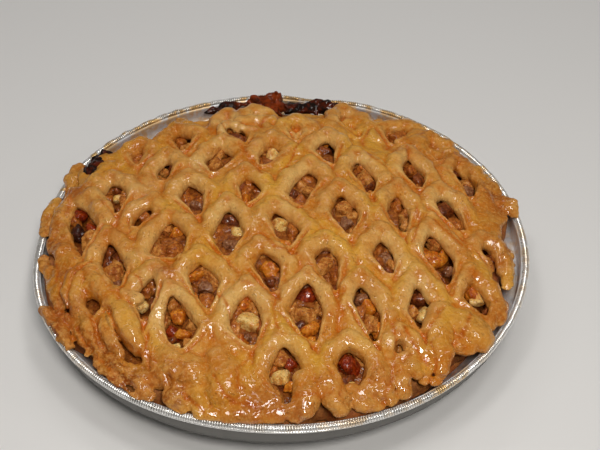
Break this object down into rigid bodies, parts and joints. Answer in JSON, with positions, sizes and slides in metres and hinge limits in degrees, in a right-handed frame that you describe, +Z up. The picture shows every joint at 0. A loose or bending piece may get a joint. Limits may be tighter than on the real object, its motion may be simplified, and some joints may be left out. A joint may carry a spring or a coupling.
{
  "type": "lattice apple pie",
  "caption": "Round baked pie in its foil tin, with a domed lattice of pastry over a chunky fruit filling.",
  "frame": {"origin": "middle of the tin's flat underside", "axes": "+Z up out of the pie, +Y to the back, where the juice has burnt on the rim, +X to the right"},
  "size_m": [0.2431, 0.2446, 0.0492],
  "materials": {
    "foil": "gloss",
    "bottom_crust": "matte",
    "glazed_pastry": "satin",
    "fruit_filling": "satin",
    "burnt_juice": "gloss"
  },
  "bodies": {
    "root": {"foil_tin": "foil", "pastry_shell": "bottom_crust", "apple_filling": "fruit_filling", "lattice_top": "glazed_pastry", "burnt_juice_back": "burnt_juice", "burnt_juice_left": "burnt_juice"}
  },
  "joints": []
}
